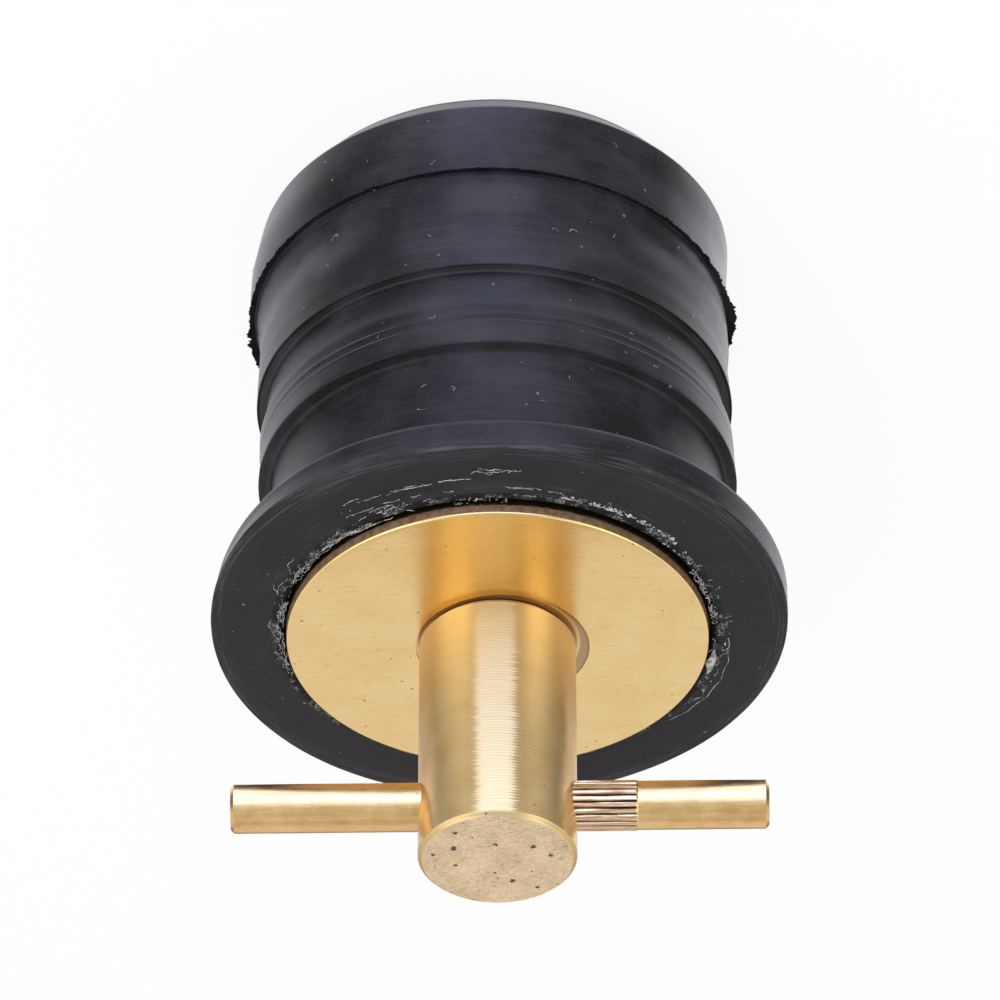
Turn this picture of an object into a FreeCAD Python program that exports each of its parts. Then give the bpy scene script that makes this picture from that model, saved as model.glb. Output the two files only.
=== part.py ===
import FreeCAD, Part
import math
import os

os.makedirs("parts", exist_ok=True)

# A twist drain plug for a boat, in millimetres. The plug stands on the far end of its rubber
# body at Z = 0, with +Z up its axis to the handle, and X runs along the cross pin.

# Rubber body, with heights measured from its far end
body_length = 32.4
band_radius = 15.65
end_chamfer_width = 1.8
end_chamfer_height = 1.95
crest_radius = 15.5
crest_slope = 0.12
far_crest_height = 7.8
middle_crest_height = 15.15
near_crest_height = 21.5
far_step = 0.45
middle_step = 0.8
near_step = 1.1
far_hollow_length = 2.6
middle_hollow_length = 3.0
flash_reach = 0.3
flash_thickness = 0.25
flange_radius = 18.5
flange_thickness = 2.5
flange_back_chamfer = 0.4
flange_root_flare = 1.0
flange_front_chamfer = 0.15
face_rise = 0.5

# Pressure washer, with its seat in the flange
washer_diameter = 27.0
washer_thickness = 1.8
washer_edge_chamfer = 0.2
washer_seat_depth = 1.0

# Handle spindle, with a hub above the washer and a threaded shank below it
hub_diameter = 10.0
hub_length = 16.9
hub_end_chamfer = 0.25
hub_base_chamfer = 0.5
shank_diameter = 6.3
shank_end_chamfer = 0.5
shank_end_height = 0.4

# Cross pin, with a knurl that grips the hub on one side
pin_diameter = 3.1
pin_length = 33.8
pin_height = 12.85
pin_offset = 0.15
pin_end_chamfer = 0.2
knurl_diameter = 3.2
knurl_reach = 8.7
knurl_length = 8.4
knurl_grooves = 22
knurl_groove_depth = 0.13

# Clamp nut, sunk in the far end of the rubber
nut_plate_diameter = 22.0
nut_plate_thickness = 2.0
nut_plate_chamfer = 0.3
nut_hexagon_across_flats = 11.0
nut_hexagon_height = 5.0
nut_inset = 1.0

# Clearances, each on one side
thread_clearance = 0.05
washer_hole_clearance = 0.2
rubber_bore_clearance = 0.4
washer_seat_clearance = 0.3
nut_plate_clearance = 0.4
nut_hexagon_clearance = 0.3
pin_hole_clearance = 0.02

# Levels and radii that the pieces share
flange_back_level = body_length - flange_thickness
lip_level = body_length + face_rise
washer_seat_level = lip_level - washer_seat_depth
washer_face_level = washer_seat_level + washer_thickness
hub_end_level = washer_face_level + hub_length
pin_level = washer_face_level + pin_height
nut_plate_top = nut_inset + nut_plate_thickness
nut_top = nut_plate_top + nut_hexagon_height
washer_radius = washer_diameter / 2
washer_seat_radius = washer_radius + washer_seat_clearance
hub_radius = hub_diameter / 2
shank_radius = shank_diameter / 2
nut_plate_radius = nut_plate_diameter / 2

overshoot = 1.0
axis_up = FreeCAD.Vector(0, 0, 1)


def at(radius, level):
    """A point of a turned outline, at a radius from the axis and a height."""
    return FreeCAD.Vector(radius, 0, level)


def line(start, end):
    return Part.LineSegment(start, end).toShape()


def arc(start, middle, end):
    return Part.Arc(start, middle, end).toShape()


def turned(edges):
    """The solid that an outline sweeps when it turns once about the plug's axis."""
    face = Part.Face(Part.Wire(Part.__sortEdges__(edges)))
    return face.revolve(FreeCAD.Vector(0, 0, 0), axis_up, 360)


def outline(points):
    """Straight edges through the points, closed back along the axis."""
    closed = points + [points[0]]
    return [line(start, end) for start, end in zip(closed, closed[1:])]


def cylinder(radius, bottom, top):
    return Part.makeCylinder(radius, top - bottom, at(0, bottom))


def hexagon(across_flats, bottom, top):
    """A hexagonal prism on the axis, with two of its corners along X."""
    corner_radius = across_flats / math.sqrt(3)
    corners = []
    for corner in range(7):
        angle = math.radians(60 * corner)
        corners.append(FreeCAD.Vector(corner_radius * math.cos(angle), corner_radius * math.sin(angle), bottom))
    return Part.Face(Part.makePolygon(corners)).extrude(axis_up * (top - bottom))


def hollow(step_radius, crest_height, length, end_radius):
    """The curved hollow behind a crest: an undercut that runs out to the next band of rubber."""
    start = at(step_radius, crest_height)
    middle = at(step_radius + 0.62 * (end_radius - step_radius), crest_height + 0.45 * length)
    end = at(end_radius, crest_height + length)
    return arc(start, middle, end), end


def make_rubber_plug():
    """The moulded rubber body: an end band, three stepped crests and a flange with seats for the brass."""
    edges = []

    # End band, with a chamfer at the far end and a thin moulding flash at its edge
    end_centre = at(0, 0)
    end_edge = at(band_radius - end_chamfer_width, 0)
    band_start = at(band_radius, end_chamfer_height)
    band_end = at(band_radius, far_crest_height - flash_thickness)
    flash_tip = at(band_radius + flash_reach, far_crest_height)
    far_floor = at(band_radius - far_step, far_crest_height)
    edges.append(line(end_centre, end_edge))
    edges.append(line(end_edge, band_start))
    edges.append(line(band_start, band_end))
    edges.append(line(band_end, flash_tip))
    edges.append(line(flash_tip, far_floor))

    # Two bands that rise slowly from a hollow to a crest with a square step
    band_low_radius = crest_radius - crest_slope
    far_hollow, far_run_out = hollow(far_floor.x, far_crest_height, far_hollow_length, band_low_radius)
    middle_crest = at(crest_radius, middle_crest_height)
    middle_floor = at(crest_radius - middle_step, middle_crest_height)
    middle_hollow, middle_run_out = hollow(
        middle_floor.x, middle_crest_height, middle_hollow_length, band_low_radius)
    near_crest = at(crest_radius, near_crest_height)
    near_floor = at(crest_radius - near_step, near_crest_height)
    edges.append(far_hollow)
    edges.append(line(far_run_out, middle_crest))
    edges.append(line(middle_crest, middle_floor))
    edges.append(middle_hollow)
    edges.append(line(middle_run_out, near_crest))
    edges.append(line(near_crest, near_floor))

    # Neck and flange, with a flared root, a broken back edge and a crisp front edge
    root_start = at(near_floor.x, flange_back_level - flange_root_flare)
    root_end = at(near_floor.x + flange_root_flare, flange_back_level)
    back_start = at(flange_radius - flange_back_chamfer, flange_back_level)
    back_end = at(flange_radius, flange_back_level + flange_back_chamfer)
    rim_end = at(flange_radius, body_length - flange_front_chamfer)
    face_start = at(flange_radius - flange_front_chamfer, body_length)
    lip = at(washer_seat_radius, lip_level)
    lip_centre = at(0, lip_level)
    edges.append(line(near_floor, root_start))
    edges.append(line(root_start, root_end))
    edges.append(line(root_end, back_start))
    edges.append(line(back_start, back_end))
    edges.append(line(back_end, rim_end))
    edges.append(line(rim_end, face_start))
    edges.append(line(face_start, lip))
    edges.append(line(lip, lip_centre))
    edges.append(line(lip_centre, end_centre))
    body = turned(edges)

    # Seats for the washer and the nut, and the bore for the shank
    washer_seat = cylinder(washer_seat_radius, washer_seat_level, lip_level + overshoot)
    bore = cylinder(shank_radius + rubber_bore_clearance, -overshoot, lip_level + overshoot)
    plate_seat = cylinder(nut_plate_radius + nut_plate_clearance, -overshoot, nut_plate_top)
    socket = hexagon(
        nut_hexagon_across_flats + 2 * nut_hexagon_clearance, -overshoot, nut_top + nut_hexagon_clearance)
    return body.cut([washer_seat, bore, plate_seat, socket])


def make_pressure_washer():
    """The wide brass washer that the hub bears on, with a broken upper edge."""
    hole_radius = shank_radius + washer_hole_clearance
    return turned(outline([
        at(hole_radius, washer_seat_level),
        at(washer_radius, washer_seat_level),
        at(washer_radius, washer_face_level - washer_edge_chamfer),
        at(washer_radius - washer_edge_chamfer, washer_face_level),
        at(hole_radius, washer_face_level)]))


def make_handle_spindle():
    """Hub and shank, turned from one bar and cross drilled for the pin."""
    spindle = turned(outline([
        at(0, shank_end_height),
        at(shank_radius - shank_end_chamfer, shank_end_height),
        at(shank_radius, shank_end_height + shank_end_chamfer),
        at(shank_radius, washer_face_level),
        at(hub_radius - hub_base_chamfer, washer_face_level),
        at(hub_radius, washer_face_level + hub_base_chamfer),
        at(hub_radius, hub_end_level - hub_end_chamfer),
        at(hub_radius - hub_end_chamfer, hub_end_level),
        at(0, hub_end_level)]))
    hole_start = FreeCAD.Vector(-hub_diameter, 0, pin_level)
    hole = Part.makeCylinder(
        knurl_diameter / 2 + pin_hole_clearance, 2 * hub_diameter, hole_start, FreeCAD.Vector(1, 0, 0))
    return spindle.cut(hole)


def make_cross_pin():
    """The handle's cross pin: a plain rod with a straight knurl rolled into one side of it."""
    start_x = -pin_offset - pin_length / 2
    along_pin = FreeCAD.Vector(1, 0, 0)
    rod = Part.makeCylinder(pin_diameter / 2, pin_length, FreeCAD.Vector(start_x, 0, pin_level), along_pin)
    end_edges = [edge for edge in rod.Edges if isinstance(edge.Curve, Part.Circle)]
    rod = rod.makeChamfer(pin_end_chamfer, end_edges)

    # A toothed prism, with one crest and one groove for each turn of the knurling wheel
    crest_distance = knurl_diameter / 2
    groove_distance = crest_distance - knurl_groove_depth
    tooth_points = []
    for step in range(2 * knurl_grooves):
        angle = math.pi * step / knurl_grooves
        distance = crest_distance if step % 2 == 0 else groove_distance
        tooth_points.append(FreeCAD.Vector(
            -knurl_reach, distance * math.cos(angle), pin_level + distance * math.sin(angle)))
    tooth_points.append(tooth_points[0])
    knurl = Part.Face(Part.makePolygon(tooth_points)).extrude(along_pin * knurl_length)

    # The rolled grooves go below the plain rod, so that stretch of the rod is the knurl alone
    stretch = Part.makeCylinder(
        pin_diameter, knurl_length, FreeCAD.Vector(-knurl_reach, 0, pin_level), along_pin)
    return rod.cut(stretch).fuse(knurl).removeSplitter()


def make_clamp_nut():
    """The nut at the far end: a round plate that bears on the rubber and a hexagon that can't turn in it."""
    plate = turned(outline([
        at(0, nut_inset),
        at(nut_plate_radius - nut_plate_chamfer, nut_inset),
        at(nut_plate_radius, nut_inset + nut_plate_chamfer),
        at(nut_plate_radius, nut_plate_top),
        at(0, nut_plate_top)]))
    boss = hexagon(nut_hexagon_across_flats, nut_plate_top, nut_top)
    bore = cylinder(shank_radius + thread_clearance, nut_inset - overshoot, nut_top + overshoot)
    return plate.fuse(boss).cut(bore).removeSplitter()


pieces = {
    "rubber_plug": make_rubber_plug(),
    "pressure_washer": make_pressure_washer(),
    "handle_spindle": make_handle_spindle(),
    "cross_pin": make_cross_pin(),
    "clamp_nut": make_clamp_nut(),
}

for name, shape in pieces.items():
    box = shape.BoundBox
    print(f"{name}: solids {len(shape.Solids)}, valid {shape.isValid()}, volume {shape.Volume:.1f} mm3, "
          f"Z {box.ZMin:.2f} to {box.ZMax:.2f}, width {box.XLength:.2f} by {box.YLength:.2f}")
    shape.exportStep(f"parts/{name}.step")
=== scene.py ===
import bmesh
import bpy
import math
import random
from mathutils import Matrix, Vector, noise


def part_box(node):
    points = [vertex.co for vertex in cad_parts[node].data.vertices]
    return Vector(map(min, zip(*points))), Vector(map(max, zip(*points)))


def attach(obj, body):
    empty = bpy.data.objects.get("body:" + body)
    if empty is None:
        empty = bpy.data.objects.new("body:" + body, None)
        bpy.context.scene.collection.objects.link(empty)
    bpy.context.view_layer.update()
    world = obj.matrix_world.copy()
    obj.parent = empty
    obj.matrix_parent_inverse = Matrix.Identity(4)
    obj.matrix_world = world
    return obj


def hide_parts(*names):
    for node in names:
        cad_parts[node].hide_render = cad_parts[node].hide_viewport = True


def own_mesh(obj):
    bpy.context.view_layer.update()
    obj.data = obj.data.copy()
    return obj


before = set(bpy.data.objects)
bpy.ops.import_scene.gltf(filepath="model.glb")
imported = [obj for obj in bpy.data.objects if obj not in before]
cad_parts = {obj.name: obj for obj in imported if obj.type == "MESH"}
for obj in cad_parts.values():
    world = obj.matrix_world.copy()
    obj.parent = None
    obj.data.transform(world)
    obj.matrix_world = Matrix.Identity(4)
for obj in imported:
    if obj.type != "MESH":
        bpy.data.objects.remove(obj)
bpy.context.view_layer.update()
MM = 0.001


# Rubber plug: one moulding of black rubber, with an end band, three stepped crests, a neck and a
# flange. The mould leaves fine rings round it and it comes out a little out of true. It is squeezed
# between the washer and the nut.

class Field:
    """A value or colour that changes over a surface. Sums and products of numbers add Math nodes."""

    def __init__(self, socket):
        self.socket = socket
        self.tree = socket.id_data

    def math(self, operation, *values):
        node = self.tree.nodes.new("ShaderNodeMath")
        node.operation = operation
        for place, value in enumerate(values):
            if isinstance(value, Field):
                self.tree.links.new(value.socket, node.inputs[place])
            else:
                node.inputs[place].default_value = value
        return Field(node.outputs[0])

    def __add__(self, other):
        return self.math("ADD", self, other)

    def __sub__(self, other):
        return self.math("SUBTRACT", self, other)

    def __rsub__(self, other):
        return self.math("SUBTRACT", other, self)

    def __mul__(self, other):
        return self.math("MULTIPLY", self, other)

    def __truediv__(self, other):
        return self.math("DIVIDE", self, other)

    def __pow__(self, other):
        return self.math("POWER", self, other)

    __radd__ = __add__
    __rmul__ = __mul__


class Shading:
    """A node tree under way, for a finish or for the studio's light."""

    def __init__(self, tree):
        self.tree = tree

    def node(self, kind, settings=None, values=(), **named):
        """Any node: its settings first, then the values or links of its sockets. Gives its outputs."""
        node = self.tree.nodes.new(kind)
        for name, value in (settings or {}).items():
            setattr(node, name, value)
        sockets = list(zip([s for s in node.inputs if s.enabled], values))
        sockets += [(next(s for s in node.inputs if s.name == name and s.enabled), v) for name, v in named.items()]
        for socket, value in sockets:
            if isinstance(value, Field):
                self.tree.links.new(value.socket, socket)
            else:
                socket.default_value = value
        return {s.name: Field(s) for s in node.outputs if s.enabled}

    def vector(self, x, y, z):
        return self.node("ShaderNodeCombineXYZ", {}, [x, y, z])["Vector"]

    def between(self, value, low, high):
        """0 where the value is at low, changing smoothly to 1 at high."""
        return self.node("ShaderNodeMapRange", {"interpolation_type": "SMOOTHSTEP"},
                         [value, low, high, 0.0, 1.0])["Result"]

    def band(self, value, start, full, fade, end):
        """1 between full and fade, falling smoothly to 0 at start and at end."""
        return self.between(value, start, full) * self.between(value, end, fade)

    def mix(self, share, first, second):
        """Mixes two colours, each four numbers or a Field, by a share."""
        return self.node("ShaderNodeMix", {"data_type": "RGBA"}, Factor=share, A=first, B=second)["Result"]


class Finish(Shading):
    """A piece's material, with the place on the piece as Fields in millimetres."""

    def __init__(self, name, **constants):
        self.material = bpy.data.materials.new(name)
        self.material.use_nodes = True
        super().__init__(self.material.node_tree)
        self.shader = self.tree.nodes["Principled BSDF"]
        for socket, value in constants.items():
            self.shader.inputs[socket.replace("_", " ")].default_value = value
        spot = self.node("ShaderNodeTexCoord")["Object"]
        self.place = self.node("ShaderNodeVectorMath", {"operation": "SCALE"}, [spot], Scale=1 / MM)["Vector"]
        parts = self.node("ShaderNodeSeparateXYZ", {}, [self.place])
        self.x, self.y, self.z = parts["X"], parts["Y"], parts["Z"]
        self.radius = (self.x * self.x + self.y * self.y + 1e-6) ** 0.5

    def noise(self, vector, scale=1.0, detail=2.0, roughness=0.5):
        return self.node("ShaderNodeTexNoise", {}, Vector=vector, Scale=scale, Detail=detail,
                         Roughness=roughness)["Fac"]

    def rings(self, along, across, detail=3.0):
        """Noise drawn out round the plug's axis: along is its pace round it, across its pace per millimetre."""
        return self.noise(self.rings_place(along, across), 1.0, detail, 0.6)

    def rings_place(self, along, across):
        return self.vector(self.x / self.radius * along, self.y / self.radius * along,
                           (self.z + self.radius * 1.7) * across)

    def specks(self, spacing, share, dimensions="3D"):
        """Small round specks: 1 inside a speck, in a share of the cells of that spacing. "2D" is for level faces."""
        cell = self.node("ShaderNodeTexVoronoi", {"voronoi_dimensions": dimensions}, Vector=self.place,
                         Scale=1 / spacing)
        pick = self.node("ShaderNodeSeparateColor", {}, [cell["Color"]])
        reach = pick["Green"] * 0.16 + 0.06
        spot = 1 - self.between(cell["Distance"], reach * 0.6, reach)
        return spot * pick["Red"].math("LESS_THAN", pick["Red"], share)

    def feed(self, bump=None, depth=0.1, base=None, **links):
        """Links Fields to the shader's sockets, and a height in depths of some millimetres to its normal."""
        for name, value in links.items():
            self.tree.links.new(value.socket, self.shader.inputs[name.replace("_", " ")])
        if bump is not None:
            start = {} if base is None else {"Normal": base}
            normal = self.node("ShaderNodeBump", {}, Height=bump, Distance=depth * MM, Strength=1.0, **start)["Normal"]
            self.tree.links.new(normal.socket, self.shader.inputs["Normal"])
        return self.material


def grey(level):
    return (level, level, level, 1.0)


def arc(start, middle, end, steps):
    """Points of the circle through three points of an outline, the end point left out."""
    (ax, ay), (bx, by), (cx, cy) = start, middle, end
    d = 2 * (ax * (by - cy) + bx * (cy - ay) + cx * (ay - by))
    ux = ((ax**2 + ay**2) * (by - cy) + (bx**2 + by**2) * (cy - ay) + (cx**2 + cy**2) * (ay - by)) / d
    uy = ((ax**2 + ay**2) * (cx - bx) + (bx**2 + by**2) * (ax - cx) + (cx**2 + cy**2) * (bx - ax)) / d
    first = math.atan2(ay - uy, ax - ux)
    turn = (math.atan2(cy - uy, cx - ux) - first) % math.tau
    if (math.atan2(by - uy, bx - ux) - first) % math.tau > turn:
        turn -= math.tau
    reach = math.hypot(ax - ux, ay - uy)
    angles = [first + turn * step / steps for step in range(steps)]
    return [(ux + reach * math.cos(angle), uy + reach * math.sin(angle)) for angle in angles]


def run(start, end, steps):
    """Evenly spaced points of a straight stretch of an outline, the end point left out."""
    return [tuple(Vector(start).lerp(Vector(end), step / steps)) for step in range(steps)]


def traced(*stops):
    """An outline through stops of a radius, a height and the steps to the next stop, the last left out."""
    legs = zip(stops, stops[1:])
    return [point for (r, h, steps), (next_r, next_h, _) in legs for point in run((r, h), (next_r, next_h), steps)]


def polar(vert):
    """A vertex's direction and distance from the plug's axis, and its height, in millimetres."""
    return (Vector((vert.co.x, vert.co.y, 0)).normalized(), math.hypot(vert.co.x, vert.co.y) / MM, vert.co.z / MM)


def linked(name, data):
    """A new object of the scene, which holds the data."""
    piece = bpy.data.objects.new(name, data)
    bpy.context.scene.collection.objects.link(piece)
    return piece


def placed(name, bm):
    """Makes a finished bmesh an object of the scene, with its faces outwards."""
    bmesh.ops.recalc_face_normals(bm, faces=bm.faces)
    mesh = bpy.data.meshes.new(name)
    bm.to_mesh(mesh)
    bm.free()
    return linked(name, mesh)


def spun(name, outline, segments, closed=True, axis=(0, 0, 1), centre=(0, 0, 0)):
    """Turns an outline of (radius, height) points in millimetres about an axis through the centre."""
    bm = bmesh.new()
    axis = Vector(axis)
    side = Vector((0, 0, 1)) if abs(axis.x) > 0.5 else Vector((1, 0, 0))
    verts = [bm.verts.new((Vector(centre) + side * r + axis * h) * MM) for r, h in outline]
    edges = [bm.edges.new(pair) for pair in zip(verts, verts[1:] + (verts[:1] if closed else []))]
    bmesh.ops.spin(bm, geom=verts + edges, cent=Vector(centre) * MM, axis=axis, angle=math.tau,
                   steps=segments, use_merge=True, use_duplicate=False)
    bmesh.ops.remove_doubles(bm, verts=bm.verts, dist=1e-7)
    return placed(name, bm)


def shade(piece, material, sharp_degrees=30):
    """Smooth shading with crisp edges, and the piece's material."""
    piece.data.materials.clear()
    piece.data.materials.append(material)
    piece.data.shade_smooth()
    piece.data.set_sharp_from_angle(angle=math.radians(sharp_degrees))
    return piece


washer_low, washer_high = (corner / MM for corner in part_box("pressure_washer"))
washer_radius = washer_high.x
washer_face = washer_high.z
seat_height = washer_low.z
flange_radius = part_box("rubber_plug")[1].x / MM
lip_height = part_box("rubber_plug")[1].z / MM
face_rise = 0.5
flange_thickness = 2.5
flange_front = lip_height - face_rise
flange_back = flange_front - flange_thickness
band_radius = 15.65
crest_radius = 15.5
low_radius = 15.38
neck_radius = 14.4
far_crest = 7.8
middle_crest = 15.15
near_crest = 21.5
bead_height = middle_crest + 4.32
lip_radius = 13.8
bore_radius = 3.55
socket_radius = 5.8
socket_top = 9.0
plate_seat_radius = 11.4
plate_seat_height = 3.02
rubber_segments = 384


def bead(height):
    """A fine raised line round a band, where the mould's parts met."""
    return [(low_radius + 0.005, height - 0.07), (low_radius + 0.025, height), (low_radius + 0.01, height + 0.07)]


rubber_outline = (
    traced((plate_seat_radius, 0.15, 1), (plate_seat_radius + 0.15, 0.0, 3), (13.75, 0.0, 0))
    + arc((13.75, 0.0), (13.83, 0.03), (13.88, 0.12), 3)
    + run((13.88, 0.12), (15.57, 1.92), 4)
    + arc((15.57, 1.92), (15.63, 2.02), (band_radius, 2.15), 4)
    + run((band_radius, 2.15), (band_radius, far_crest - 0.05), 6)
    + [(band_radius, far_crest - 0.05), (band_radius - 0.06, far_crest + 0.02)]
    + run((15.50, far_crest + 0.02), (15.46, far_crest + 0.04), 2)
    + arc((15.45, far_crest + 0.06), (15.38, far_crest + 0.8), (15.24, far_crest + 2.2), 6)
    + arc((15.24, far_crest + 2.2), (15.25, far_crest + 3.2), (crest_radius - 0.08, middle_crest - 1.4), 9)
    + arc((crest_radius - 0.08, middle_crest - 1.4), (crest_radius - 0.03, middle_crest - 0.4),
          (crest_radius, middle_crest - 0.05), 4)
    + [(crest_radius, middle_crest - 0.04), (crest_radius - 0.05, middle_crest + 0.02)]
    + [(crest_radius - 0.07, middle_crest - 0.12), (crest_radius - 0.15, middle_crest - 0.12)]
    + run((crest_radius - 0.18, middle_crest + 0.02), (15.08, middle_crest + 0.08), 4)
    + arc((15.06, middle_crest + 0.09), (14.97, middle_crest + 0.14), (14.93, middle_crest + 0.22), 4)
    + [(14.90, middle_crest + 0.24)]
    + arc((14.91, middle_crest + 0.27), (14.95, middle_crest + 1.2), (low_radius, middle_crest + 3.0), 12)
    + run((low_radius, middle_crest + 3.0), (low_radius + 0.01, middle_crest + 3.85), 2)
    + bead(bead_height - 0.32) + bead(bead_height + 0.33)
    + run((low_radius + 0.02, middle_crest + 4.85), (crest_radius, near_crest - 0.12), 4)
    + arc((crest_radius, near_crest - 0.12), (crest_radius - 0.025, near_crest - 0.03),
          (crest_radius - 0.1, near_crest), 3)
    + run((crest_radius - 0.1, near_crest), (14.9, near_crest + 0.08), 4)
    + arc((14.88, near_crest + 0.10), (14.76, near_crest + 0.18), (14.70, near_crest + 0.32), 4)
    + arc((14.69, near_crest + 0.36), (14.57, near_crest + 1.1), (neck_radius + 0.05, near_crest + 2.2), 6)
    + run((neck_radius + 0.04, near_crest + 2.25), (neck_radius, flange_back - 1.3), 5)
    + arc((neck_radius, flange_back - 1.3), (neck_radius + 0.38, flange_back - 0.38),
          (neck_radius + 1.3, flange_back), 8)
    + run((neck_radius + 1.3, flange_back), (flange_radius - 0.6, flange_back), 4)
    + arc((flange_radius - 0.6, flange_back), (flange_radius - 0.17, flange_back + 0.17),
          (flange_radius, flange_back + 0.6), 7)
    + run((flange_radius, flange_back + 0.6), (flange_radius, flange_front - 0.15), 5)
    + arc((flange_radius, flange_front - 0.15), (flange_radius - 0.04, flange_front - 0.04),
          (flange_radius - 0.15, flange_front + 0.005), 5)
    + run((flange_radius - 0.17, flange_front + 0.01), (lip_radius + 0.5, lip_height - 0.02), 16)
    + arc((lip_radius + 0.5, lip_height - 0.02), (lip_radius + 0.17, lip_height - 0.13),
          (lip_radius, lip_height - 0.4), 5)
    + traced((lip_radius, lip_height - 0.4, 2), (lip_radius, seat_height, 4), (bore_radius, seat_height, 3),
             (bore_radius, socket_top, 2), (socket_radius, socket_top, 3), (socket_radius, plate_seat_height, 0))
    + traced((socket_radius + 0.001, plate_seat_height, 3), (plate_seat_radius, plate_seat_height, 3),
             (plate_seat_radius, 0.15, 0))
)


def rubber_finish(name, base, darkness, dullness, round_it=True, **constants):
    """Black moulded rubber: fine lines from the mould, greyer where it is rubbed, with pale specks of lint. Painted
    highlights and sheen lighten the end band's hollow and flanks on the camera's side, and the ledges are lighter with
    dust and painted sheen.
    """
    finish = Finish(name, Specular_Tint=(0.55, 0.375, 0.305, 1.0), **constants)
    if round_it:
        rings, fine_rings = finish.rings(2.2, 4.0), finish.rings(6.0, 15.0)
    else:
        rings = finish.noise(finish.vector(finish.x * 0.3, finish.y * 2.5, finish.z), 1.0, 3.0, 0.6)
        fine_rings = finish.noise(finish.vector(finish.x * 0.9, finish.y * 9.0, finish.z), 1.0, 2.0, 0.6)
    cloud = finish.noise(finish.place, 0.25, 3.0, 0.55)
    grain = finish.noise(finish.place, 8.0, 2.0, 0.6)
    bloom = finish.between(rings * 0.2 + fine_rings * 0.25 + cloud * 0.55, 0.40, 0.66) * darkness
    colour = finish.mix(bloom, base, (0.027, 0.0266, 0.033, 1.0))
    smear = finish.between(finish.noise(finish.rings_place(1.1, 0.22), 1.0, 4.0, 0.6), 0.52, 0.70)
    colour = finish.mix(smear * 0.35, colour, (0.050, 0.049, 0.056, 1.0))
    colour = finish.mix(finish.between(grain, 0.46, 0.66) * 0.35, colour, (0.034, 0.0333, 0.039, 1.0))
    sideways = finish.x * finish.x
    # Lighter grey on the ledges under the middle and near crests: partly dust, partly painted sheen. It is strongest
    # front and back and fades at the flanks.
    ledge_dust_and_sheen = finish.band(finish.z - middle_crest, -0.01, 0.03, 0.2, 0.3)
    ledge_dust_and_sheen = ledge_dust_and_sheen + finish.band(finish.z - near_crest, -0.05, -0.01, 0.08, 0.16) * 0.5
    ledge_dust_and_sheen = ledge_dust_and_sheen * finish.between(sideways, 60.0, 8.0)
    colour = finish.mix(ledge_dust_and_sheen * 0.45, colour, (0.038, 0.037, 0.041, 1.0))
    # Painted highlight: a lighter patch in the hollow just past the far crest, on the side facing the camera.
    painted_hollow_highlight = finish.band(finish.z - far_crest, 0.2, 1.0, 2.2, 3.2) * finish.between(sideways, 14.0, 1.0)
    colour = finish.mix(painted_hollow_highlight * finish.between(finish.y, 0.0, -8.0) * 0.5, colour, (0.045, 0.044, 0.050, 1.0))
    # Painted sheen: lighter streaks on the band past the far crest, at its flanks on the camera's side.
    painted_flank_sheen = finish.band(finish.z - far_crest + (cloud - 0.5) * 3.0, 1.6, 2.8, 3.2, 4.6)
    painted_flank_sheen = painted_flank_sheen * finish.between(sideways, 50.0, 130.0) * finish.between(finish.y, 2.0, -3.0)
    colour = finish.mix(painted_flank_sheen * 0.5, colour, (0.085, 0.083, 0.091, 1.0))
    rubbed = finish.between(finish.radius, flange_radius - 1.3, flange_radius - 0.3) * finish.between(
        finish.z, flange_front - 1.0, flange_front - 0.2)
    scraped = finish.between(finish.noise(finish.rings_place(4.0, 5.0), 1.0, 4.0, 0.7), 0.46, 0.66)
    colour = finish.mix(rubbed * scraped * 0.6, colour, (0.085, 0.083, 0.092, 1.0))
    bead_off = finish.z - bead_height
    bead_off = bead_off.math("ABSOLUTE", bead_off)
    bead_line = finish.band(bead_off, 0.27, 0.31, 0.34, 0.38) * finish.between(sideways, 8.0, 80.0)
    colour = finish.mix(bead_line * 0.8, colour, (0.10, 0.098, 0.108, 1.0))
    chalk = finish.between(finish.rings(3.0, 3.0) * 0.5 + grain * 0.2 + cloud * 0.3, 0.54, 0.68)
    chalk = chalk * finish.between(finish.radius, 17.0, 14.6) * finish.between(
        finish.z, flange_front - 0.05, flange_front)
    colour = finish.mix(chalk * 0.4, colour, (0.13, 0.125, 0.12, 1.0))
    lint = finish.specks(0.7, 0.07)
    colour = finish.mix(lint * 0.6, colour, grey(0.2))
    past_band = finish.between(finish.z, far_crest, far_crest + 0.3)
    roughness = dullness + 0.14 * cloud + 0.10 * fine_rings + 0.2 * chalk + 0.08 * smear + 0.06 * past_band
    height = rings * 0.20 + fine_rings * 0.32 + grain * 0.45 + lint * 0.5
    return finish.feed(bump=height, depth=0.024, Base_Color=colour, Roughness=roughness)


def lean(height):
    """How far the moulding leans over towards +X at a height, in millimetres."""
    places = [(-1.0, 0.26), (2.0, 0.26), (5.0, 0.62), (7.0, 0.60), (9.0, 0.38), (12.0, 0.34), (20.0, 0.0),
              (40.0, 0.0)]
    for (low, low_lean), (high, high_lean) in zip(places, places[1:]):
        if height <= high:
            return low_lean + (high_lean - low_lean) * (height - low) / (high - low)


def taper(height):
    """How much slimmer the end band is at a height than its nominal radius, in millimetres."""
    if height > far_crest - 0.01:
        return 0.0
    return (0.27 * min(1.0, (far_crest - height) / 5.8) ** 2 - 0.08) * min(1.0, max(0.0, height / 2.0))


def sag(around, height):
    """How much lower the moulding's parting line lies on the camera's side, in millimetres."""
    return 0.32 * max(0.0, -around.y) ** 2 * max(0.0, 1 - abs(height - far_crest) / 3.0)


rubber_material = rubber_finish("black_moulded_rubber", (0.0082, 0.0080, 0.0098, 1.0), 1.0, 0.20, IOR=1.4)
rubber = spun("rubber_plug_moulding", rubber_outline, rubber_segments)

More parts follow.
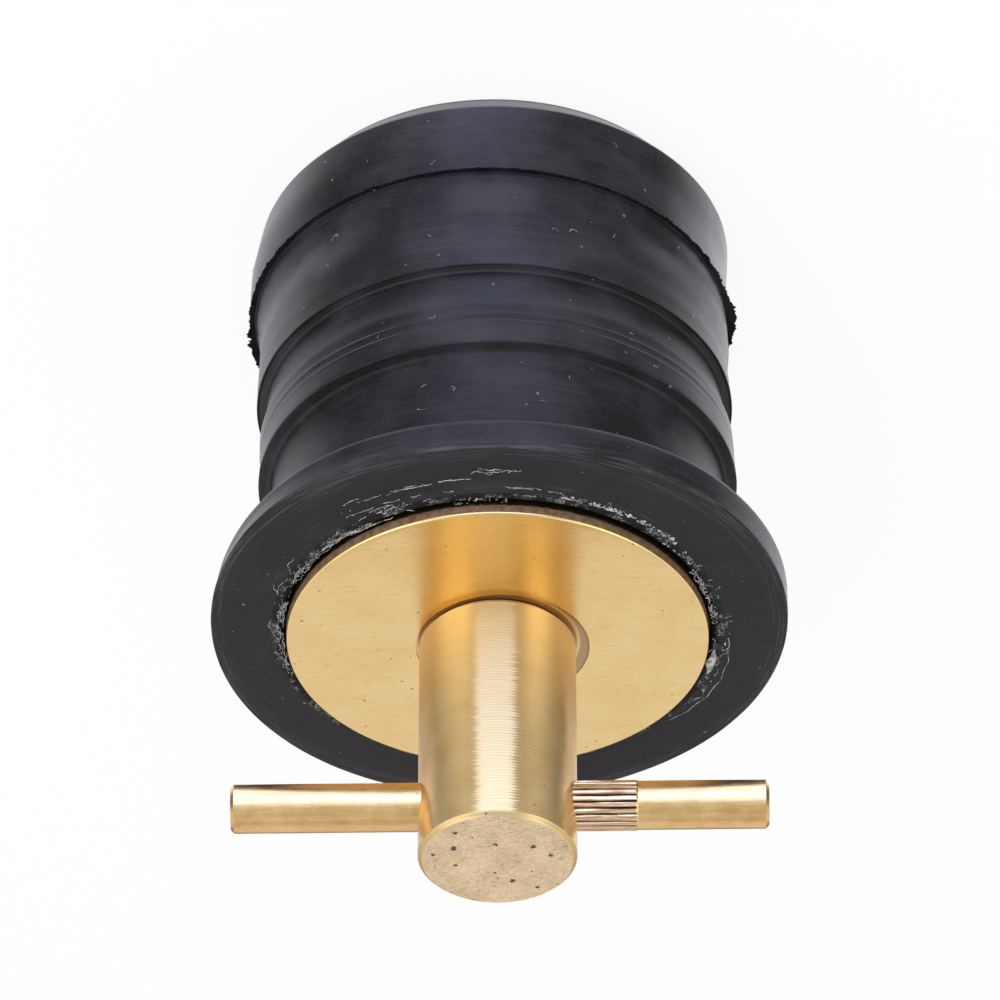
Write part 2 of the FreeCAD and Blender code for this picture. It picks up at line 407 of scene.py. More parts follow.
# Faults of this one moulding, by direction: a flat of the flange and its swellings
dented_side, full_side, swollen_side = (
    Vector((math.sin(math.radians(turn)), -math.cos(math.radians(turn)), 0)) for turn in (62, -48, 36))
back_side = Vector((0.42, 0.91, 0))
for vert in rubber.data.vertices:
    around, distance, height = polar(vert)
    if abs(distance - socket_radius) < 0.0005 and plate_seat_height - 0.01 < height < socket_top + 0.01:
        corner = (math.atan2(around.y, around.x) % math.radians(60)) - math.radians(30)
        vert.co += around * (socket_radius / math.cos(corner) - socket_radius) * MM
    elif distance > plate_seat_radius + 0.2:
        slow = noise.noise(around * 1.3 + Vector((0, 0, height * 0.08)))
        quick = noise.noise(around * 9.0 + Vector((4.0, 0, height * 0.3)))
        reach = 0.05 * slow + 0.012 * quick - taper(height)
        reach += 0.28 * max(0.0, -around.x) ** 6 * max(0.0, 1 - abs(height - 10.4) / 2.5)
        if distance > neck_radius + 1.4 and height > flange_back - 0.1:
            back_share = min(1.0, max(0.15, (flange_front - height) / 1.6))
            reach -= 0.48 * back_share * max(0.0, around.dot(dented_side)) ** 5
            reach += 0.20 * max(0.0, around.dot(full_side)) ** 6
            reach += 0.24 * max(0.0, around.dot(swollen_side)) ** 7 - 0.14 * max(0.0, around.x) ** 6
            reach += 0.20 * max(0.0, around.y) ** 2 + 0.32 * max(0.0, around.dot(back_side)) ** 4
            edge = min(1.0, max(0.0, (distance - flange_radius + 1.4) / 1.4)) if height > flange_front - 0.3 else 0.0
            vert.co.z -= edge * 0.5 * max(0.0, around.x) ** 2 * max(0.0, -around.y) * MM
        if height > seat_height + 0.1 and distance < lip_radius + 0.5:
            reach = 0.06 * noise.noise(around * 16.0)
            vert.co.z += 0.10 * noise.noise(around * 11.0 + Vector((0, 0, 3.0))) * MM
        vert.co += (around * reach + Vector((lean(height), 0, -sag(around, height)))) * MM
shade(rubber, rubber_material)
rubber.data.materials.append(rubber_finish("dull_flange_face", (0.0205, 0.0188, 0.0212, 1.0), 0.6, 0.45,
                                           round_it=False, IOR=1.28))
for face in rubber.data.polygons:
    if face.normal.z > 0.7 and face.center.z / MM > flange_front - 0.06:
        face.material_index = 1
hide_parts("rubber_plug")
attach(rubber, "bung")


def squeeze(piece):
    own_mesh(piece)


squeeze(rubber)


# Flash: the thin ragged fin that the mould's parting line leaves at the edge of the end band. It is
# the same rubber, torn short all the way round.

flash_rows = [(-0.5, far_crest - 0.16, 0.0), (-0.04, far_crest - 0.16, 0.0), (-0.01, far_crest - 0.08, 0.3),
              (0.0, far_crest - 0.04, 1.0), (0.0, far_crest + 0.0, 0.95), (-0.03, far_crest + 0.03, 0.2),
              (-0.5, far_crest + 0.03, 0.0)]
flash_material = rubber_finish("torn_flash_rubber", (0.003, 0.003, 0.0036, 1.0), 0.3, 0.6, IOR=1.12)
flash = spun("rubber_flash", [(band_radius + out, height) for out, height, tip in flash_rows], 1200)
for vert in flash.data.vertices:
    around, distance, height = polar(vert)
    row = min(flash_rows, key=lambda r: abs(band_radius + r[0] - distance) + abs(r[1] - height))
    wide = max(0.0, 0.45 + noise.noise(around * 2.5 + Vector((3.0, 0, 0))))
    teeth = 1.1 * abs(noise.noise(around * 13.0)) + 0.9 * abs(noise.noise(around * 60.0 + Vector((0, 0, 5.0))))
    side_share = max(0.0, abs(around.x) - 0.75) * 4.0
    torn_out = 0.34 * max(0.0, -around.x) ** 60
    reach = row[2] * (0.02 + torn_out + 0.10 * teeth + (0.06 + 0.26 * side_share) * wide * (0.10 + teeth))
    droop = row[2] * (0.04 + 0.08 * side_share) * noise.noise(around * 14.0 + Vector((0, 9.0, 0)))
    vert.co += (around * (reach + 0.06) + Vector((lean(far_crest - 0.2), 0, droop - sag(around, far_crest)))) * MM
shade(flash, flash_material, 50)
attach(flash, "bung")
squeeze(flash)


# Torn lip: the skin of rubber that was trimmed round the washer's seat. Its edge is ragged and
# greyed, and curls over the gap to the washer.

def lip_finish():
    """Rubber, with its torn edges scuffed to a pale grey in patches."""
    finish = Finish("torn_rubber_edge", Roughness=0.5, IOR=1.3)
    patch = finish.between(finish.noise(finish.place, 0.8, 2.0, 0.5), 0.48, 0.6)
    torn = finish.between(finish.noise(finish.place, 7.0, 3.0, 0.7), 0.46, 0.6)
    edge = finish.between(finish.radius, 13.95, 14.1) * finish.between(finish.z, lip_height - 0.05, lip_height + 0.06)
    colour = finish.mix(patch * torn * edge * 0.9, (0.007, 0.0068, 0.0075, 1.0), (0.30, 0.292, 0.285, 1.0))
    return finish.feed(bump=torn, depth=0.03, Base_Color=colour)


lip_rows = [(14.6, lip_height - 0.1, 0.0), (14.5, lip_height + 0.0, 0.4), (14.32, lip_height + 0.03, 1.0),
            (14.1, lip_height - 0.02, 0.8), (13.88, lip_height - 0.10, 0.5), (13.70, lip_height - 0.26, 0.3),
            (13.66, lip_height - 0.4, 0.2), (13.84, lip_height - 0.6, 0.0)]
lip = spun("torn_lip", [(radius, height) for radius, height, tip in lip_rows], 1200)
for vert in lip.data.vertices:
    around, distance, height = polar(vert)
    row = min(lip_rows, key=lambda r: abs(r[0] - distance) + abs(r[1] - height))
    tatters = noise.noise(around * 30.0) + 0.6 * noise.noise(around * 80.0 + Vector((0, 0, 5.0)))
    swell = noise.noise(around * 5.0 + Vector((1.0, 4.0, 0)))
    inward = row[2] * (0.05 + 0.08 * swell + 0.05 * tatters)
    upward = row[2] * (0.02 + 0.04 * swell + 0.08 * abs(tatters))
    vert.co += (around * -inward + Vector((0, 0, upward))) * MM
shade(lip, lip_finish(), 50)
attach(lip, "bung")


# Pressure washer: a wide flat brass washer with a broken edge, brushed along one line. Its rim is
# tarnished, and the turning hub has rubbed a shallow grey ring in its face.

washer_hole_radius = 3.35
rubbed_radius = 5.53
rubbed_centre = (-0.32, 0.55)
washer_outline = (
    traced((washer_hole_radius, seat_height, 6), (washer_radius - 0.1, seat_height, 1),
           (washer_radius, seat_height + 0.1, 4), (washer_radius, washer_face - 0.14, 0))
    + arc((washer_radius, washer_face - 0.14), (washer_radius - 0.05, washer_face - 0.04),
          (washer_radius - 0.16, washer_face), 5)
    + traced((washer_radius - 0.16, washer_face, 24), (washer_hole_radius + 0.1, washer_face, 1),
             (washer_hole_radius, washer_face - 0.1, 3), (washer_hole_radius, seat_height, 0))
)


def washer_finish():
    """Brushed yellow brass with scratches along X, a rubbed ring round the hub and a dull brown rim, with a painted
    glint by the hub, painted shade in the crease under it and, low on the rim, grime and painted shadow.
    """
    finish = Finish("brushed_washer_brass", Metallic=1.0, Roughness=0.3)
    wander = finish.noise(finish.place, 0.35, 2.0, 0.5)
    brushed = finish.vector(finish.x * 0.8, finish.y * 7.0 + wander * 2.0, finish.z)
    brushing = finish.noise(brushed, 1.0, 4.0, 0.65)
    swept = finish.vector(finish.x * 0.7 + finish.y * 0.4, finish.y * 13.0 - finish.x * 2.0, finish.z)
    scratches = finish.between(finish.noise(swept, 1.0, 2.0, 0.5), 0.66, 0.74)
    mottle = finish.noise(finish.place, 2.2, 3.0, 0.6)
    grain = finish.noise(finish.place, 9.0, 2.0, 0.6)
    cloud = finish.noise(finish.place, 0.3, 3.0, 0.5)
    bright = (0.90, 0.66, 0.32, 1.0)
    deep = (0.85, 0.59, 0.255, 1.0)
    colour = finish.mix(finish.between(brushing * 0.2 + cloud * 0.35 + mottle * 0.25 + grain * 0.2, 0.38, 0.62),
                        deep, bright)
    colour = finish.mix(scratches * 0.45, colour, (0.44, 0.28, 0.11, 1.0))
    across, along = finish.x - rubbed_centre[0], finish.y - rubbed_centre[1]
    ragged = (across * across + along * along) ** 0.5 + (mottle - 0.5) * 0.10
    ring = 1 - finish.between(ragged, rubbed_radius - 0.03, rubbed_radius + 0.04)
    rim_of_ring = finish.between(ragged, rubbed_radius - 0.14, rubbed_radius - 0.06) * ring
    # Painted highlight: a bright ring inside the rubbed ring, just outside the hub's foot.
    painted_hub_glint = finish.band(finish.radius, 5.04, 5.1, 5.24, 5.32)
    colour = finish.mix(ring * 0.85, colour, (0.42, 0.285, 0.17, 1.0))
    colour = finish.mix(rim_of_ring * 0.6, colour, (0.18, 0.10, 0.05, 1.0))
    colour = finish.mix(ring * painted_hub_glint * 0.8, colour, bright)
    pits = finish.specks(0.62, 0.04, "2D") * finish.between(mottle, 0.44, 0.50)
    colour = finish.mix(pits * 0.65, colour, (0.24, 0.14, 0.06, 1.0))
    # Painted shade in the crease under the hub's foot.
    painted_crease_shade = finish.between(finish.radius, 4.74, 4.62)
    colour = finish.mix(painted_crease_shade * 0.7, colour, (0.24, 0.12, 0.065, 1.0))
    side = 1 - finish.between(finish.z, washer_face - 0.18, washer_face - 0.13)
    grime = finish.between(finish.noise(finish.place, 2.6, 4.0, 0.65), 0.35, 0.66)
    # The lower part of the rim, down in the rubber's seat, goes near black: grime and painted shadow of the seat.
    grime_and_seat_shadow = finish.between(finish.z + grime * 0.12, washer_face - 0.58, washer_face - 0.72)
    wall = finish.mix(grime, (0.21, 0.115, 0.068, 1.0), (0.085, 0.045, 0.027, 1.0))
    colour = finish.mix(side * 0.95, colour, finish.mix(grime_and_seat_shadow * 0.9, wall, (0.015, 0.011, 0.009, 1.0)))
    metal = 1 - 0.85 * side * (1 - grime_and_seat_shadow)
    roughness = 0.20 + 0.06 * brushing + 0.22 * ring + 0.3 * side
    height = brushing * 0.25 + mottle * 0.45 + grain * 0.22 - scratches * 0.5 - pits * 0.8 - ring * 0.8
    return finish.feed(bump=height, depth=0.007, Base_Color=colour, Roughness=roughness, Metallic=metal)


washer = spun("pressure_washer_brushed", washer_outline, 256)
shade(washer, washer_finish())
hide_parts("pressure_washer")
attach(washer, "bung")


# Handle spindle: hub and threaded shank, turned from one brass bar. The tool leaves fine rings on
# the hub, and its end face is parted off rough, with dark pits and scuffs.

hub_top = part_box("handle_spindle")[1].z / MM
hub_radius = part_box("handle_spindle")[1].x / MM
shank_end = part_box("handle_spindle")[0].z / MM
thread_radius = 3.14
thread_root_radius = 2.5
thread_pitch = 1.27
collar_radius = 3.05
hub_outline = (
    traced((0.0, shank_end, 2), (2.1, shank_end, 1), (thread_root_radius, shank_end + 0.45, 8),
           (thread_root_radius, seat_height - 3.0, 0))
    + run((collar_radius, seat_height - 2.5), (collar_radius, washer_face - 0.2), 2)
    + traced((collar_radius, washer_face + 0.003, 2), (hub_radius - 0.45, washer_face + 0.003, 3),
             (hub_radius - 0.03, washer_face + 0.44, 0))
    + traced((hub_radius, washer_face + 0.50, 40), (hub_radius, hub_top - 0.27, 1),
             (hub_radius - 0.02, hub_top - 0.23, 2), (hub_radius - 0.24, hub_top - 0.01, 0))
    + run((hub_radius - 0.27, hub_top), (0.5, hub_top), 12) + [(0.0, hub_top)]
)


def turned_finish():
    """Turned brass: fine rings round the hub, which draw reflections out along it. A painted reflection of the washer
    deepens its colour low down, and painted shade darkens its foot.
    """
    finish = Finish("turned_hub_brass", Metallic=1.0, Roughness=0.34, Anisotropic=1.0, Anisotropic_Rotation=0.25)
    phase = finish.z * 29.0 + finish.noise(finish.vector(finish.x * 0.2, finish.y * 0.2, finish.z * 0.7)) * 9.0
    feed_lines = phase.math("SINE", phase) * 0.5 + 0.5
    rings = finish.noise(finish.vector(finish.x * 0.3, finish.y * 0.3, finish.z * 7.0), 1.0, 2.0, 0.6)
    broad_rings = finish.noise(finish.vector(finish.x * 0.1, finish.y * 0.1, finish.z * 1.4), 1.0, 2.0, 0.5)
    cloud = finish.noise(finish.place, 0.5, 3.0, 0.55)
    bright = (0.90, 0.635, 0.34, 1.0)
    deep = (0.81, 0.535, 0.235, 1.0)
    colour = finish.mix(finish.between(
        feed_lines * 0.22 + rings * 0.3 + broad_rings * 0.13 + cloud * 0.35, 0.36, 0.62), deep, bright)
    pits = finish.specks(0.6, 0.05) * finish.between(cloud, 0.44, 0.52)
    colour = finish.mix(pits * 0.7, colour, (0.22, 0.13, 0.07, 1.0))
    # Painted reflection: a deeper orange low on the hub, where it mirrors the washer.
    low = finish.between(finish.z, washer_face + 7.0, washer_face + 0.5)
    colour = finish.mix(low * 0.4, colour, (0.80, 0.495, 0.175, 1.0))
    # Painted shade at the hub's foot, against the washer.
    painted_crease_shade = finish.between(finish.z, washer_face + 0.14, washer_face + 0.04)
    colour = finish.mix(painted_crease_shade * 0.7, colour, (0.18, 0.09, 0.05, 1.0))
    sideways = finish.node("ShaderNodeVectorMath", {"operation": "SCALE"}, [finish.vector(
        0 - finish.y / finish.radius, finish.x / finish.radius, 0.0)],
        Scale=(feed_lines - 0.5) * 0.045 + (rings - 0.5) * 0.17)["Vector"]
    sideways = finish.node("ShaderNodeVectorTransform", {"vector_type": "VECTOR", "convert_from": "OBJECT",
                                                         "convert_to": "WORLD"}, [sideways])["Vector"]
    level = finish.node("ShaderNodeNewGeometry")["Normal"]
    skewed = finish.node("ShaderNodeVectorMath", {"operation": "ADD"}, [level, sideways])["Vector"]
    skewed = finish.node("ShaderNodeVectorMath", {"operation": "NORMALIZE"}, [skewed])["Vector"]
    roughness = 0.32 + 0.08 * cloud
    return finish.feed(bump=feed_lines * 0.14 + rings * 0.3 + cloud * 0.5, depth=0.012, base=skewed, Base_Color=colour,
                       Roughness=roughness)


def faced_finish():
    """The parted-off end: matt brass with dark pits, specks of dirt and scuffs."""
    finish = Finish("faced_end_brass", Metallic=1.0, Roughness=0.5)
    scuffs = finish.vector(finish.x * 1.2 + finish.y * 0.2, finish.y * 5.5 - finish.x * 0.5, finish.z)
    patch = finish.between(finish.noise(finish.place, 0.55, 2.0, 0.5), 0.40, 0.58)
    scuffed = finish.between(finish.noise(scuffs, 1.6, 5.0, 0.8), 0.52, 0.62) * (0.15 + patch * 0.85)
    grain = finish.noise(finish.place, 12.0, 2.0, 0.7)
    mottle = finish.noise(finish.place, 3.0, 4.0, 0.7)
    broad = finish.noise(finish.place, 0.4, 2.0, 0.5)
    jitter = finish.noise(finish.place, 5.0, 2.0, 0.6)
    pits = finish.specks(1.25, 0.34, "2D") * finish.between(jitter, 0.38, 0.46)
    dust = finish.specks(0.3, 0.34, "2D") * finish.between(mottle, 0.40, 0.52) * (0.3 + 0.7 * patch)
    faced = finish.noise(finish.vector(finish.radius * 9.0, 0.0, 0.0), 1.0, 2.0, 0.6)
    colour = finish.mix(finish.between(mottle * 0.35 + broad * 0.25 + grain * 0.4, 0.38, 0.62),
                        (0.70, 0.52, 0.33, 1.0), (0.96, 0.76, 0.51, 1.0))
    colour = finish.mix(scuffed * 0.85, colour, (0.34, 0.22, 0.125, 1.0))
    colour = finish.mix(pits * 0.95, colour, (0.09, 0.055, 0.035, 1.0))
    colour = finish.mix(dust * 0.75, colour, (0.20, 0.13, 0.08, 1.0))
    roughness = 0.42 + 0.08 * mottle
    height = mottle * 0.5 + grain * 0.5 + faced * 0.25 - scuffed * 0.5 - pits * 1.6 - dust * 0.7
    return finish.feed(bump=height, depth=0.02, Base_Color=colour, Roughness=roughness)


hub = spun("handle_spindle_turned", hub_outline, 256, closed=False)
shade(hub, turned_finish(), 25)
hub.data.materials.append(faced_finish())
for face in hub.data.polygons:
    if abs(face.normal.z) > 0.9 and (face.center.z / MM > hub_top - 0.05 or face.center.z / MM < shank_end + 0.05):
        face.material_index = 1
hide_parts("handle_spindle")
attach(hub, "handle")

# Its right-handed thread is one ridge, swept up the shank
ridge = bmesh.new()
ridge_points = [(thread_root_radius - 0.05, -0.5), (thread_root_radius, -0.42), (thread_radius, -0.08),
                (thread_radius, 0.08), (thread_root_radius, 0.42), (thread_root_radius - 0.05, 0.5)]
ridge_start = shank_end + 1.0
ridge_turns = int((seat_height - 3.2 - ridge_start) / thread_pitch)
ridge_verts = [ridge.verts.new((radius * MM, 0, (ridge_start + height * thread_pitch) * MM))
               for radius, height in ridge_points]
ridge_edges = [ridge.edges.new(pair) for pair in zip(ridge_verts, ridge_verts[1:])]
ridge_steps = 40 * ridge_turns
bmesh.ops.spin(ridge, geom=ridge_verts + ridge_edges, cent=(0, 0, 0), axis=(0, 0, 1), steps=ridge_steps,
               angle=math.tau * ridge_turns, dvec=(0, 0, thread_pitch * ridge_turns / ridge_steps * MM))
thread = placed("shank_thread", ridge)
shade(thread, hub.data.materials[0], 40)
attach(thread, "handle")


# Cross pin: a drawn brass rod through the hub. A straight knurl, rolled into one side of it, grips
# the hub's cross hole, and a short stretch of the knurl shows beside the hub.

pin_low, pin_high = (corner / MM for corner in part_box("cross_pin"))
pin_height = (pin_low.z + pin_high.z) / 2
pin_radius = 1.55
knurl_radius = 1.6
knurl_start = -8.7
knurl_end = -0.3
knurl_teeth = 22
pin_outline = traced(
    (0.0, pin_low.x, 1), (pin_radius - 0.2, pin_low.x, 2), (pin_radius, pin_low.x + 0.2, 16),
    (pin_radius, knurl_start - 0.12, 2), (knurl_radius, knurl_start, 16), (knurl_radius, knurl_end, 2),
    (pin_radius, knurl_end + 0.12, 24), (pin_radius, pin_high.x - 0.2, 2), (pin_radius - 0.2, pin_high.x, 1),
    (0.0, pin_high.x, 0)) + [(0.0, pin_high.x)]


def pin_finish():
    """Drawn brass rod: faint lines along it, soft stains, and dark dirt down in the knurl."""
    finish = Finish("drawn_pin_brass", Metallic=1.0, Roughness=0.3)
    height_off = finish.z - pin_height
    drawn = finish.vector(finish.x * 0.5, finish.y * 9.0, height_off * 9.0)
    drawing = finish.noise(drawn, 1.0, 3.0, 0.6)
    cloud = finish.noise(finish.place, 0.7, 3.0, 0.6)
    grain = finish.noise(finish.place, 7.0, 3.0, 0.7)
    bright = (0.90, 0.59, 0.295, 1.0)
    deep = (0.75, 0.45, 0.185, 1.0)
    colour = finish.mix(finish.between(drawing * 0.35 + cloud * 0.4 + grain * 0.25, 0.38, 0.62), deep, bright)
    depth = (finish.y * finish.y + height_off * height_off) ** 0.5
    knurled = finish.band(finish.x, knurl_start - 0.1, knurl_start, knurl_end - 0.1, knurl_end)
    colour = finish.mix(knurled * 0.8, colour, finish.mix(
        finish.between(drawing, 0.42, 0.58), (0.62, 0.38, 0.24, 1.0), (0.92, 0.70, 0.46, 1.0)))
    dirt = knurled * finish.between(depth - grain * 0.05, knurl_radius - 0.06, knurl_radius - 0.13)
    colour = finish.mix(dirt * 0.93, colour, (0.10, 0.040, 0.018, 1.0))
    pits = finish.specks(0.5, 0.07)
    colour = finish.mix(pits * 0.6, colour, (0.25, 0.15, 0.07, 1.0))
    roughness = 0.24 + 0.14 * cloud + 0.15 * dirt
    height = drawing * (0.6 + knurled * 1.6) + cloud * 0.4 + grain * (0.3 + knurled * 0.5) - pits
    return finish.feed(bump=height, depth=0.012, Base_Color=colour, Roughness=roughness)


pin = spun("cross_pin_knurled", pin_outline, 396, closed=False, axis=(1, 0, 0), centre=(0, 0, pin_height))
for vert in pin.data.vertices:
    x = vert.co.x / MM
    if knurl_start - 0.01 < x < knurl_end + 0.01:
        side = Vector((0, vert.co.y, vert.co.z - pin_height * MM))
        angle = math.atan2(side.z, side.y)
        turn = (angle / math.tau * knurl_teeth + 0.22 * noise.noise(Vector((angle * 3.0, 0, 2.0)))) % 1.0
        width = 0.52 + 0.25 * noise.noise(Vector((x * 0.3, angle * 5.0, 6.0)))
        groove = max(0.0, 1 - abs(2 * turn - 1) / width)
        uneven = 0.85 + 0.7 * noise.noise(Vector((x * 0.8, angle * 6.0, 0)))
        vert.co -= side.normalized() * 0.18 * groove * uneven * MM
shade(pin, pin_finish(), 22)
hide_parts("cross_pin")
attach(pin, "handle")


# Clamp nut: a round brass plate with a hexagon on its inner side, sunk in the rubber's far end,
# where the hexagon keeps it from turning. The shank's thread draws it towards the washer.

nut_low, nut_high = (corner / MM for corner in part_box("clamp_nut"))
plate_radius = nut_high.x
plate_top = plate_seat_height
nut_flat_radius = 5.5
nut_bore_radius = 3.22
nut_chamfer = 0.3
nut_outline = traced(
    (nut_bore_radius, nut_low.z + nut_chamfer, 1), (nut_bore_radius + nut_chamfer, nut_low.z, 10),
    (plate_radius - nut_chamfer, nut_low.z, 2), (plate_radius, nut_low.z + nut_chamfer, 2),
    (plate_radius, plate_top - 0.1, 1), (plate_radius - 0.1, plate_top, 3), (nut_flat_radius, plate_top, 3),
    (nut_flat_radius, nut_high.z, 2), (nut_bore_radius + nut_chamfer, nut_high.z, 1),
    (nut_bore_radius, nut_high.z - nut_chamfer, 3), (nut_bore_radius, nut_low.z + nut_chamfer, 0))


def nut_finish():
    """Brass turned on the lathe, dulled where the bilge water reaches it."""
    finish = Finish("dulled_nut_brass", Metallic=1.0, Roughness=0.38)
    rings = finish.noise(finish.vector(finish.radius * 7.0, 0.0, finish.z * 7.0), 1.0, 3.0, 0.6)
    stain = finish.between(finish.noise(finish.place, 0.5, 4.0, 0.6), 0.42, 0.66)
    colour = finish.mix(stain, (0.78, 0.54, 0.24, 1.0), (0.52, 0.33, 0.14, 1.0))
    pits = finish.specks(0.7, 0.1)
    colour = finish.mix(pits * 0.7, colour, (0.18, 0.11, 0.05, 1.0))
    return finish.feed(bump=rings - pits, depth=0.012, Base_Color=colour, Roughness=0.3 + 0.2 * stain)


nut = spun("clamp_nut_turned", nut_outline, 240)
for vert in nut.data.vertices:
    distance = math.hypot(vert.co.x, vert.co.y) / MM
    if abs(distance - nut_flat_radius) < 0.0005 and vert.co.z / MM > plate_top - 0.01:
        corner = (math.atan2(vert.co.y, vert.co.x) % math.radians(60)) - math.radians(30)
        vert.co.xy /= math.cos(corner)
shade(nut, nut_finish())
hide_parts("clamp_nut")
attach(nut, "nut")


# Crumbs and lint: pale crumbs of torn rubber and curled fibres that cling round the washer's edge,
# with finer fibres scattered over the plug. They are stuck on, so they move with the rubber.

random.seed(11)
noise.seed_set(11)


def on_flange(degrees, radius, rise=0.02):
    """A place on the flange's face, by its angle from the camera's side towards +X."""
    angle = math.radians(degrees)
    slope = (lip_height - flange_front) / (flange_radius - lip_radius)
    height = lip_height - max(0.0, radius - lip_radius) * slope
    return Vector((radius * math.sin(angle), -radius * math.cos(angle), height + rise))


def fibres(name, paths, thickness, material):
    """Thin threads along lists of points in millimetres, as one mesh."""
    curve = bpy.data.curves.new(name, "CURVE")
    curve.dimensions = "3D"
    curve.bevel_depth = thickness * MM
    curve.bevel_resolution = 0
    curve.use_fill_caps = True
    for path in paths:
        spline = curve.splines.new("POLY")
        spline.points.add(len(path) - 1)
        for point, place in zip(spline.points, path):
            point.co = (*(place * MM), 1.0)
            point.radius = random.uniform(0.6, 1.4)
    holder = linked(name, curve)
    mesh = bpy.data.meshes.new_from_object(holder.evaluated_get(bpy.context.evaluated_depsgraph_get()))
    bpy.data.objects.remove(holder)
    return shade(linked(name, mesh), material, 60)


def strand(degrees, radius, length, wander, steps=14):
    """A thread that runs round the washer's edge from a place on the flange, and wanders in and out."""
    pace = math.degrees(length / radius) / steps * random.choice([-1, 1])
    drift = 0.0
    points = []
    for step in range(steps + 1):
        points.append(on_flange(degrees, radius, random.uniform(0.0, 0.10)))
        degrees += pace * random.uniform(0.2, 1.8)
        drift = 0.6 * drift + random.uniform(-wander, wander)
        radius = max(13.7, radius + max(-0.1, min(0.1, drift)))
    return points


crumb_finish = Finish("torn_crumbs", Roughness=0.7)
crumb_tone = crumb_finish.between(crumb_finish.noise(crumb_finish.place, 2.0, 2.0, 0.5), 0.35, 0.65)
crumb_material = crumb_finish.feed(Base_Color=crumb_finish.mix(crumb_tone, grey(0.18), (0.52, 0.51, 0.50, 1.0)))

# Threads by stretch of the washer's edge: from and to degrees, how many, how long, between which radii
thread_stretches = [(38, 60, 24, 2.4, 13.75, 14.35, 0.02), (58, 84, 26, 1.6, 13.8, 14.6, 0.07),
                    (80, 108, 28, 1.2, 13.7, 14.1, 0.05), (14, 36, 9, 1.3, 14.2, 14.7, 0.02),
                    (2, 14, 5, 0.9, 13.65, 14.5, 0.04), (-16, -54, 22, 1.1, 14.2, 14.8, 0.05),
                    (-60, -98, 38, 0.8, 13.7, 14.5, 0.07), (-96, -128, 12, 1.2, 14.2, 14.9, 0.05),
                    (34, 12, 7, 2.4, 15.7, 16.3, 0.02), (6, -5, 7, 1.1, 16.4, 16.7, 0.05),
                    (30, 8, 6, 1.8, 14.8, 15.1, 0.02), (44, 20, 12, 1.6, 14.1, 14.7, 0.04),
                    (-9, -26, 3, 2.4, 14.95, 15.15, 0.01)]
threads = []
for first, last, count, length, inner, outer, wander in thread_stretches:
    for thread in range(count):
        threads.append(strand(random.uniform(first, last), random.uniform(inner, outer),
                              length * random.uniform(0.4, 1.3), wander))

# Crumbs by stretch: from and to degrees, how many, between which radii, their largest size
crumb_stretches = [(-17, -52, 260, 14.35, 14.8, 0.10), (-48, -66, 110, 14.05, 14.5, 0.09),
                   (-62, -82, 70, 13.75, 14.1, 0.07), (-82, -96, 60, 13.9, 15.0, 0.05),
                   (-96, -130, 60, 14.1, 14.8, 0.07), (36, 64, 60, 13.9, 14.4, 0.06), (64, 108, 60, 13.75, 14.3, 0.05),
                   (14, 36, 40, 14.2, 14.8, 0.06), (-4, 12, 34, 13.6, 14.6, 0.08), (26, 40, 26, 15.0, 16.2, 0.035),
                   (-180, 180, 120, 13.9, 17.6, 0.03)]
crumbs = bmesh.new()
for first, last, count, inner, outer, largest in crumb_stretches:
    for crumb in range(count):
        degrees = random.uniform(first, last)
        size = largest * (0.2 + 0.8 * random.random() ** 2)
        spot = on_flange(degrees, random.uniform(inner, outer), size * 0.3)
        turn = Matrix.Rotation(math.radians(degrees), 4, "Z") @ Matrix.Rotation(random.uniform(-0.8, 0.8), 4, "Z")
        shape = Matrix.Diagonal((size * random.uniform(1.0, 2.4), size, size * 0.6, 1.0))
        bmesh.ops.create_icosphere(crumbs, subdivisions=1, radius=MM,
                                   matrix=Matrix.Translation(spot * MM) @ turn @ shape)
for vert in crumbs.verts:
    vert.co += noise.noise_vector(vert.co / MM * 6.0) * 0.03 * MM

# One large torn flake hangs over the washer's edge, and a long hair of skin runs on from it
flake = bmesh.ops.create_icosphere(crumbs, subdivisions=3, radius=MM, matrix=(
    Matrix.Translation(on_flange(-104, 14.05, 0.12) * MM) @ Matrix.Rotation(math.radians(-104 + 3), 4, "Z")
    @ Matrix.Diagonal((1.3, 0.24, 0.10, 1.0))))
for vert in flake["verts"]:
    vert.co += noise.noise_vector(vert.co / MM * 1.8) * 0.16 * MM
hair = [on_flange(-94 - 38 * share, 14.75 + 0.55 * math.sin(3.0 * share) + 0.06 * math.sin(31 * share), 0.03)
        for share in (step / 40 for step in range(41))]

crumb_piece = placed("rubber_crumbs", crumbs)
shade(crumb_piece, crumb_material, 40)
thread_piece = fibres("curled_threads", threads, 0.018, crumb_material)
hair_piece = fibres("skin_hair", [hair], 0.02, crumb_material)
for piece in (crumb_piece, thread_piece, hair_piece):
    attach(piece, "bung")

# Short fibres that lie on the bands and the neck, each on its own place of the moulding
skin = sorted((height, radius) for radius, height in rubber_outline if radius > 14.0 and height < flange_back - 1.0)
lint_paths = []
for count in range(90):
    angle = random.uniform(0, math.tau)
    height = random.choice([random.uniform(3.0, 7.4), random.uniform(9.5, 14.8), random.uniform(17.0, 21.0),
                            random.uniform(22.0, 28.0)])
    radius = min(skin, key=lambda place: abs(place[0] - height))[1] + 0.01 - taper(height)
    heading = random.uniform(0, math.tau)
    path = []
    for step in range(7):
        around = angle + math.cos(heading) * 0.09 * step / radius
        path.append(Vector((radius * math.cos(around) + lean(height), radius * math.sin(around),
                            height + math.sin(heading) * 0.07 * step)))
        heading += random.uniform(-0.6, 0.6)
    lint_paths.append(path[:random.randint(2, 7)])
lint = fibres("lint_fibres", lint_paths, 0.014, crumb_material)
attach(lint, "bung")
squeeze(lint)


# Floor, backdrop and light: a plain white studio. The floor and the world show white to the camera,
# and the floor keeps a soft shadow of the plug. Metal and rubber mirror the room: a bright front,
# softer sides and a paler back.

